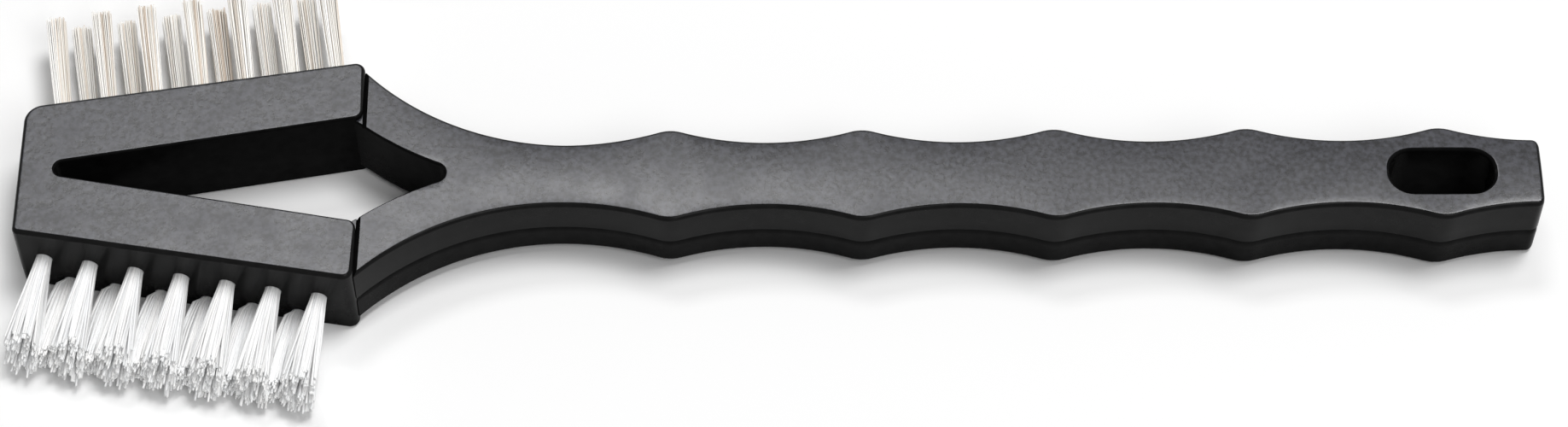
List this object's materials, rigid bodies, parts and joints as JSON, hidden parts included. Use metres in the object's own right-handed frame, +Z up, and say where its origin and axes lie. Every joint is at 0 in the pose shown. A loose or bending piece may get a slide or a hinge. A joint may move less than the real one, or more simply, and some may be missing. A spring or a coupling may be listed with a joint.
{
  "type": "instrument cleaning brush",
  "caption": "Flat plastic hand brush with a forked head, nylon tufts on one arm and steel-wire tufts on the other, a scalloped grip and a hang slot.",
  "frame": {"origin": "middle of the brush's box, on the surface that it lies on", "axes": "+X from the head to the tail, +Y to the steel side, +Z up out of the top face"},
  "size_m": [0.1778, 0.0548, 0.0115],
  "materials": {
    "body_plastic": "fine matte moulded texture, smooth rounded edges",
    "nylon_bristle": "translucent white filament",
    "steel_bristle": "bright drawn wire with a warm cast",
    "anchor_metal": "flat rolled strip"
  },
  "bodies": {
    "root": {"moulded_body": "body_plastic", "nylon_tuft_01": "nylon_bristle", "nylon_tuft_02": "nylon_bristle", "nylon_tuft_03": "nylon_bristle", "nylon_tuft_04": "nylon_bristle", "nylon_tuft_05": "nylon_bristle", "nylon_tuft_06": "nylon_bristle", "nylon_tuft_07": "nylon_bristle", "nylon_tuft_08": "nylon_bristle", "nylon_tuft_09": "nylon_bristle", "nylon_tuft_10": "nylon_bristle", "nylon_tuft_11": "nylon_bristle", "nylon_tuft_12": "nylon_bristle", "nylon_tuft_13": "nylon_bristle", "nylon_anchor_01": "anchor_metal", "nylon_anchor_02": "anchor_metal", "nylon_anchor_03": "anchor_metal", "nylon_anchor_04": "anchor_metal", "nylon_anchor_05": "anchor_metal", "nylon_anchor_06": "anchor_metal", "nylon_anchor_07": "anchor_metal", "nylon_anchor_08": "anchor_metal", "nylon_anchor_09": "anchor_metal", "nylon_anchor_10": "anchor_metal", "nylon_anchor_11": "anchor_metal", "nylon_anchor_12": "anchor_metal", "nylon_anchor_13": "anchor_metal", "steel_tuft_01": "steel_bristle", "steel_tuft_02": "steel_bristle", "steel_tuft_03": "steel_bristle", "steel_tuft_04": "steel_bristle", "steel_tuft_05": "steel_bristle", "steel_tuft_06": "steel_bristle", "steel_tuft_07": "steel_bristle", "steel_tuft_08": "steel_bristle", "steel_tuft_09": "steel_bristle", "steel_tuft_10": "steel_bristle", "steel_tuft_11": "steel_bristle", "steel_tuft_12": "steel_bristle", "steel_tuft_13": "steel_bristle", "steel_anchor_01": "anchor_metal", "steel_anchor_02": "anchor_metal", "steel_anchor_03": "anchor_metal", "steel_anchor_04": "anchor_metal", "steel_anchor_05": "anchor_metal", "steel_anchor_06": "anchor_metal", "steel_anchor_07": "anchor_metal", "steel_anchor_08": "anchor_metal", "steel_anchor_09": "anchor_metal", "steel_anchor_10": "anchor_metal", "steel_anchor_11": "anchor_metal", "steel_anchor_12": "anchor_metal", "steel_anchor_13": "anchor_metal"}
  },
  "joints": []
}
